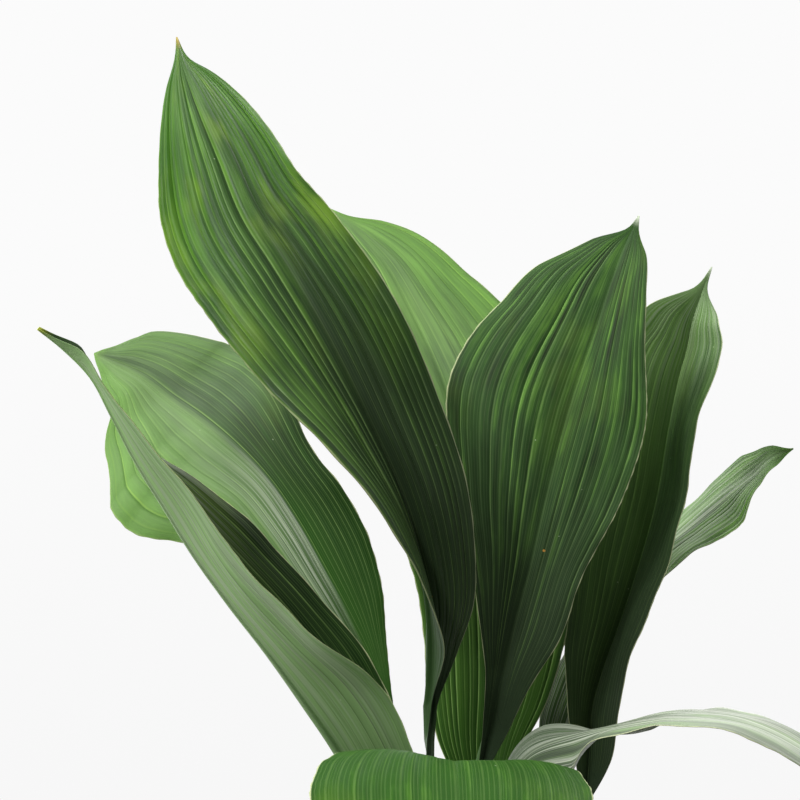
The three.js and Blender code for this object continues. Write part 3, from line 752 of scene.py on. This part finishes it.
class LeafShading(Shading):
    """The nodes of a leaf's material, which start from what each point of the leaf knows.

    That is how far it is across the leaf (1 is the left margin and -1 the right) and along its blade, how
    many pleats from the rib it is, how deep the crease there is, how wide the blade is, and whether it is on
    the upper face (1) or the underside (0).
    """

    def __init__(self, name, finish, seed):
        super().__init__(bpy.data.materials.new(name))
        self.finish = finish
        self.seed = seed
        self.across = self.attribute("across")
        self.along = self.attribute("along")
        self.fold = self.attribute("fold")
        self.relief = self.attribute("relief")
        self.breadth = self.attribute("breadth")
        self.upper = self.attribute("upper")
        self.off_rib = self.math("ABSOLUTE", self.across)
        self.within = self.math("FRACT", self.fold)  # how far across its pleat the point is
        self.fine = self.math("PINGPONG", self.times(self.fold, FINE_LINES), 0.5)  # 0 on a fine line
        self.wide = self.ramp(self.breadth, *DETAIL_WIDTHS)
        self.streaks = self.drawn_out(1.7, 6.5, 4.0)
        self.fibres = self.drawn_out(5.0, 14.0)
        # the right half, on which "right" paints shade, less of it towards the tip; lit_half is less there
        # too
        right = self.ramp(self.across, -0.12, 0.02, 1.0, 0.0)
        self.right_half = self.times(right, self.ramp(self.along, 0.4, 0.95, 1.0, 0.3))
        self.lit_half = self.ramp(self.right_half, 0.0, 1.0, 1.0, max(0.0, 1 + finish["right"]))
        # the dark green that the tone and the painted shade go to, greyish towards the base
        vividness = self.ramp(self.along, finish["grey_to"] - 0.55, finish["grey_to"])
        self.dark = self.mix(vividness, DARK_GREEN, VIVID_GREEN)

    def where_wide(self, value):
        """The value, which fades out where the blade is too narrow for fine marks."""
        return self.times(value, self.wide)

    def drawn_out(self, per_pleat, per_length, detail=3.0):
        """Noise that is long along the veins and short across them."""
        place = self.vector(
            self.times(self.fold, per_pleat), self.times(self.along, per_length), self.seed * 3.7
        )
        return self.mix_numbers(self.wide, 0.5, self.noise(place, 1.0, detail, 0.6))

    def blotches(self, per_half, per_length, shift, scale, detail):
        """Noise in rounder patches, which takes no notice of the veins."""
        place = self.vector(self.times(self.across, per_half), self.times(self.along, per_length), shift)
        return self.noise(place, scale, detail)

    def tone(self):
        """How light the upper face is: streaks, bands and patches, and painted light and shade."""
        varies = self.finish["streaks"]
        middle = self.finish["tone"]
        tone = self.ramp(self.streaks, 0.3, 0.7, middle - 0.25 * varies, middle + 0.2 * varies)
        bands = self.drawn_out(0.8, 2.0)
        mottle = self.blotches(3.5, 8.0, self.seed * 1.7, 1.3, 2.0)
        for layer, reach in ((bands, 0.2), (mottle, 0.15), (self.fibres, 0.09)):
            tone = self.plus(tone, self.ramp(layer, 0.33, 0.67, -reach * varies, reach * varies))
        # painted shade and light across each pleat: dark beside a crease, lit towards the next
        flank = self.where_wide(self.ramp(self.within, 0.0, 0.95, -0.6, 0.45))
        tone = self.plus(tone, self.times(flank, self.relief))
        # painted shade on the right half
        return self.plus(tone, self.times(self.right_half, self.finish["right"]))

    def fan(self):
        """Painted sheen: fine pale lines beside the rib, halfway along the leaf."""
        lines = self.ramp(self.drawn_out(14.0, 2.0, 1.0), 0.42, 0.58)
        near_rib = self.ramp(self.off_rib, 0.05, 0.5, 1.0, 0.0)
        starts = self.times(self.ramp(self.along, 0.15, 0.4), self.lit_half)
        ends = self.ramp(self.along, 0.45, 0.75, self.finish["fan"], 0.0)
        return self.times(lines, near_rib, starts, ends)

    def upper_face(self):
        finish = self.finish
        tone = self.tone()
        colour = self.mix(tone, self.dark, LIGHT_GREEN)
        # deepest green where the tone runs lowest, most of all in the painted shade
        colour = self.mix(self.ramp(tone, -0.6, 0.05, 0.9, 0.0), colour, DEEP_GREEN)
        patches = self.blotches(1.3, 4.0, self.seed, 1.4, 3.0)
        yellow = self.ramp(patches, 0.5, 0.72, 0.0, finish["yellow"])
        colour = self.mix(self.times(yellow, self.ramp(self.along, 0.4, 0.7)), colour, YELLOW_GREEN)
        # painted shade beside the rib, strongest towards the base
        painted_rib_shade = self.ramp(self.off_rib, 0.0, 0.1 + 0.6 * finish["rib"], finish["rib"], 0.0)
        painted_rib_shade = self.times(painted_rib_shade, self.ramp(self.along, 0.3, 0.9, 1.0, 0.2))
        colour = self.mix(painted_rib_shade, colour, self.dark)
        # painted greyish sheen in streaks, more towards the tip and less on a shaded right half
        painted_sheen = self.ramp(self.streaks, 0.25, 0.65, 0.6, 1.0)
        painted_sheen = self.times(painted_sheen, self.ramp(self.along, 0.1, 0.7, 0.3, 1.0), self.lit_half, finish["pale"])
        colour = self.mix(painted_sheen, colour, SHEEN_GREY)
        # painted shade towards the base
        colour = self.mix(self.ramp(self.along, 0.0, finish["shade_to"], 0.95, 0.0), colour, self.dark)
        # painted sheen in fine lines beside the rib
        return self.mix(self.fan(), colour, SHEEN_GREY)

    def underside(self):
        palest = self.finish["under"]
        paleness = self.ramp(self.streaks, 0.3, 0.7, palest, palest - 0.3)
        # painted shade on the right half of the underside
        paleness = self.plus(paleness, self.times(self.right_half, self.finish["right"]))
        colour = self.mix(paleness, DARK_UNDER, PALE_UNDER)
        # painted shade towards the base of the underside
        return self.mix(self.ramp(self.along, 0.1, 0.6, 0.75, 0.0), colour, DARK_UNDER)

    def stripes(self):
        """Painted sheen: whitish bands along the veins, on both faces."""
        bands = self.ramp(self.drawn_out(2.3, 1.2, 1.0), 0.45, 0.6, 0.0, self.finish["stripes"])
        start = self.finish["stripes_from"]
        return self.times(bands, self.times(self.ramp(self.along, start - 0.1, start + 0.35), self.lit_half))

    def creases(self):
        """Painted shade: the dark line in each crease."""
        line = self.where_wide(self.ramp(self.within, 0.0, 0.22, 0.95, 0.0))
        return self.times(line, self.ramp(self.relief, 0.0, 0.8, 0.2, 1.0))

    def veins(self):
        """The sharp pale line at the edge of each pleat."""
        line = self.times(self.ramp(self.within, 0.84, 0.93), self.ramp(self.within, 0.95, 0.99, 1.0, 0.0))
        line = self.where_wide(self.times(line, self.ramp(self.relief, 0.0, 0.5, 0.35, 1.0)))
        return self.times(line, self.ramp(self.fibres, 0.3, 0.6, 0.5, 1.0))

    def dots(self, under_them, colour, per_metre, size, rarity, strength):
        """A few small blemishes over a colour."""
        cells = self.node("ShaderNodeTexVoronoi", {"Vector": self.place(), "Scale": per_metre})
        draw = self.node("ShaderNodeSeparateXYZ", {0: cells.outputs["Color"]}).outputs[0]
        chosen = self.math("GREATER_THAN", draw, rarity)
        spot = self.times(self.ramp(cells.outputs["Distance"], size * 0.6, size, strength, 0.0), chosen)
        return self.mix(spot, under_them, colour)

    def colour(self, veins):
        colour = self.mix(self.upper, self.underside(), self.upper_face())
        # painted sheen along the veins
        colour = self.mix(self.stripes(), colour, SHEEN_GREY)
        # painted shade in the creases
        colour = self.mix(self.creases(), colour, self.dark)
        colour = self.mix(self.where_wide(self.ramp(self.fine, 0.0, 0.2, 0.06, 0.0)), colour, VEIN_GREEN)
        colour = self.mix(self.times(veins, 0.2 + 0.5 * self.finish["tone"]), colour, VEIN_GREEN)
        margin = self.where_wide(self.ramp(self.off_rib, 0.986, 0.997, 0.0, 0.5))
        colour = self.mix(margin, colour, MARGIN_CREAM)
        colour = self.mix(self.ramp(self.along, 0.975, 1.0, 0.0, 0.9), colour, TIPS[self.finish["tip"]])
        colour = self.dots(colour, SPOT_ORANGE, per_metre=48.0, size=0.05, rarity=0.93, strength=0.8)
        return self.dots(colour, FLECK, per_metre=160.0, size=0.08, rarity=0.955, strength=0.5)


def leaf_material(name, finish, seed):
    s = LeafShading(name, finish, seed)
    veins = s.veins()
    normal = s.bump(s.times(s.fine, s.ramp(s.breadth, *FINE_LINE_WIDTHS)), FINE_LINE_BUMP)
    normal = s.bump(s.noise(s.place(), GRAINS, 2.0), GRAIN_BUMP, under=normal)

    # what the faces reflect
    gloss = finish["gloss"]
    rough = s.ramp(s.streaks, 0.2, 0.8, 0.44 - 0.14 * gloss, 0.62 - 0.22 * gloss)
    rough = s.mix_numbers(s.upper, UNDERSIDE_ROUGHNESS, rough)
    inputs = {"Base Color": s.colour(veins), "Roughness": rough, "Normal": normal, "IOR": 1.4}
    inputs["Specular IOR Level"] = 0.05 + 0.22 * gloss
    surface = s.node("ShaderNodeBsdfPrincipled", inputs)

    # what comes through the blade, more where it is thin
    palest = min(1.0, 4 * finish["pale"])
    through = s.mix(s.ramp(s.streaks, 0.3, 0.7, palest, palest * 0.6), THROUGH_GREEN, THROUGH_PALE)
    through = s.mix(veins, through, THROUGH_VEIN)
    inside = s.node("ShaderNodeBsdfTranslucent", {"Color": through, "Normal": normal})
    thin = s.times(s.ramp(s.off_rib, 0.0, 0.8, 0.35, 1.1), s.ramp(s.along, 0.1, 0.9, 0.2, 1.4))
    glow = s.times(thin, s.times(s.lit_half, finish["glow"]))
    return s.show(s.node("ShaderNodeMixShader", {0: glow, 1: surface.outputs[0], 2: inside.outputs[0]}))


def pot_material():
    s = Shading(bpy.data.materials.new("stoneware"))
    speckle = s.noise(s.place(), 420.0, 3.0, 0.7)
    cloud = s.noise(s.place(), 9.0, 3.0)
    clay = s.mix(s.ramp(cloud, 0.3, 0.7), CLAY, CLAY_CLOUD)
    clay = s.mix(s.ramp(speckle, 0.66, 0.76, 0.0, 0.5), clay, CLAY_SPECKLE)
    normal = s.bump(s.noise(s.place(), 160.0, 4.0), 0.0004, 0.6)
    inputs = {"Base Color": clay, "Roughness": s.ramp(cloud, 0.3, 0.7, 0.5, 0.62), "Normal": normal}
    return s.show(s.node("ShaderNodeBsdfPrincipled", inputs))


def soil_material():
    s = Shading(bpy.data.materials.new("potting_mix"))
    clods = s.noise(s.place(), 90.0, 6.0, 0.65)
    earth = s.mix(s.ramp(clods, 0.35, 0.7), DARK_EARTH, LIGHT_EARTH)
    normal = s.bump(s.noise(s.place(), 600.0, 6.0, 0.7), 0.0012)
    inputs = {"Base Color": earth, "Roughness": 0.95, "Normal": normal}
    return s.show(s.node("ShaderNodeBsdfPrincipled", inputs))


# Pot and soil


def pot_inside(z):
    return mix(POT_FOOT_RADIUS, POT_RIM_RADIUS - RIM_PROUD, z / POT_HEIGHT) - WALL


def pot_piece():
    band = POT_HEIGHT - RIM_HEIGHT
    profile = [
        (0, 0),
        (POT_FOOT_RADIUS, 0),
        (pot_inside(band) + WALL, band),
        (pot_inside(band) + WALL + RIM_PROUD, band + RIM_PROUD),
        (POT_RIM_RADIUS, POT_HEIGHT),
        (pot_inside(POT_HEIGHT), POT_HEIGHT),
        (pot_inside(POT_FLOOR), POT_FLOOR),
        (0, POT_FLOOR),
    ]
    pot = lathe("fine_pot", rounded(profile, POT_EDGE_RADIUS, POT_EDGE_STEPS), POT_SIDES)
    pot.data.materials.append(pot_material())
    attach(pot, "root")
    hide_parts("pot")


def soil_height(x, y):
    """Height of the soil's crumbly top above the ground."""
    reach = math.hypot(x, y) / pot_inside(SOIL_LEVEL)
    height = SOIL_LEVEL + SOIL_CROWN * (1 - min(reach, 1) ** 2)
    for size, closeness in SOIL_LUMPS:
        height += size * noise.noise(Vector((x, y, 0)) * closeness)
    return height


def soil_piece():
    radius = pot_inside(SOIL_LEVEL) + SOIL_INTO_WALL
    under = SOIL_LEVEL - SOIL_DEPTH
    top = [(radius * (1 - i / SOIL_RINGS), None) for i in range(SOIL_RINGS)]
    profile = [(0, under), (radius - SOIL_TAPER, under), *top, (0, None)]
    soil = lathe("fine_soil", profile, SOIL_SIDES, soil_height)
    soil.data.materials.append(soil_material())
    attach(soil, "root")
    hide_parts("soil")


# Stage


def add_camera():
    data = bpy.data.cameras.new("camera")
    data.sensor_width = SENSOR
    data.lens = SENSOR * -CAMERA_PLACE[1] / VIEW_WIDTH
    camera = bpy.data.objects.new("camera", data)
    camera.location = Vector(CAMERA_PLACE) * MM
    camera.rotation_euler = (math.radians(90), 0, 0)
    bpy.context.scene.collection.objects.link(camera)
    bpy.context.scene.camera = camera


def add_area_light(name, place, target, size, power, colour=(1, 1, 1)):
    data = bpy.data.lights.new(name, "AREA")
    data.shape = "DISK"
    data.size = size
    data.energy = power
    data.color = colour
    light = bpy.data.objects.new(name, data)
    light.location = place
    light.rotation_euler = (Vector(target) - Vector(place)).to_track_quat("-Z", "Y").to_euler()
    bpy.context.scene.collection.objects.link(light)


def add_world():
    """A pale backdrop for the camera, and light that comes mostly from behind and above."""
    world = bpy.data.worlds.new("studio")
    bpy.context.scene.world = world
    s = Shading(world, "ShaderNodeOutputWorld")
    direction = s.node("ShaderNodeTexCoord").outputs["Generated"]
    height = s.node("ShaderNodeSeparateXYZ", {0: direction}).outputs[2]
    bottom, top = BACKDROP_HEIGHTS
    dim, bright = BACKDROP_BRIGHTNESS
    inputs = {"Value": height, "From Min": bottom, "From Max": top, "To Min": dim, "To Max": bright}
    backdrop = s.node("ShaderNodeMapRange", inputs).outputs["Result"]
    lighting = AMBIENT
    for towards, low, high, strength in LOBES:
        nearness = s.node("ShaderNodeVectorMath", {0: direction, 1: towards}, operation="DOT_PRODUCT")
        lobe = s.ramp(nearness.outputs["Value"], low, high, 0.0, strength)
        lighting = s.plus(lobe, lighting)
    seen = s.node("ShaderNodeBackground", {"Color": (1, 1, 1), "Strength": backdrop})
    lights = s.node("ShaderNodeBackground", {"Color": (1, 1, 1), "Strength": lighting})
    is_camera = s.node("ShaderNodeLightPath").outputs["Is Camera Ray"]
    s.show(s.node("ShaderNodeMixShader", {0: is_camera, 1: lights.outputs[0], 2: seen.outputs[0]}))


def add_floor():
    """A pale round floor that fades into the backdrop."""
    angles = [2 * math.pi * k / FLOOR_SIDES for k in range(FLOOR_SIDES)]
    radius = FLOOR_RADIUS / MM
    points = [(radius * math.cos(a), radius * math.sin(a), 0) for a in angles]
    floor = new_object("floor", points, [tuple(range(FLOOR_SIDES))])
    s = Shading(bpy.data.materials.new("pale_floor"))
    distance = s.node("ShaderNodeVectorMath", {0: s.place()}, operation="LENGTH").outputs["Value"]
    matt = s.node("ShaderNodeBsdfDiffuse", {"Color": FLOOR_GREY})
    clear = s.node("ShaderNodeBsdfTransparent")
    shares = {0: s.ramp(distance, *FLOOR_FADES), 1: matt.outputs[0], 2: clear.outputs[0]}
    floor.data.materials.append(s.show(s.node("ShaderNodeMixShader", shares)))
    floor.visible_diffuse = False


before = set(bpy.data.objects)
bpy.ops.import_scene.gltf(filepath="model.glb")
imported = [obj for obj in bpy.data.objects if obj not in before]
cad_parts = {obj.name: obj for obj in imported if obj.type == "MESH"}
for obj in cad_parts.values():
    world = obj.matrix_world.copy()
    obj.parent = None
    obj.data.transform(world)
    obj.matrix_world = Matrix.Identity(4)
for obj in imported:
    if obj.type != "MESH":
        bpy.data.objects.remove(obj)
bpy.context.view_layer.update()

pot_piece()
soil_piece()
for seed, (leaf_name, leaf_shape) in enumerate(LEAVES.items()):
    leaf_piece(leaf_name, leaf_shape, seed)

add_camera()
add_world()
add_area_light("window", (-0.8, -0.4, 1.9), (0, 0, 0.4), size=0.5, power=31, colour=WARM_WHITE)
add_area_light("sheen", (-0.8, -1.4, 1.6), (-0.1, 0, 0.5), size=0.22, power=14)
add_area_light("side", (-1.5, -0.9, 0.35), (-0.1, 0, 0.4), size=0.9, power=11, colour=WARM_WHITE)
add_area_light("fill", (1.3, -1.5, 0.7), (0, 0, 0.4), size=1.4, power=3, colour=COOL_WHITE)
add_floor()
bpy.context.scene.view_settings.view_transform = "Standard"
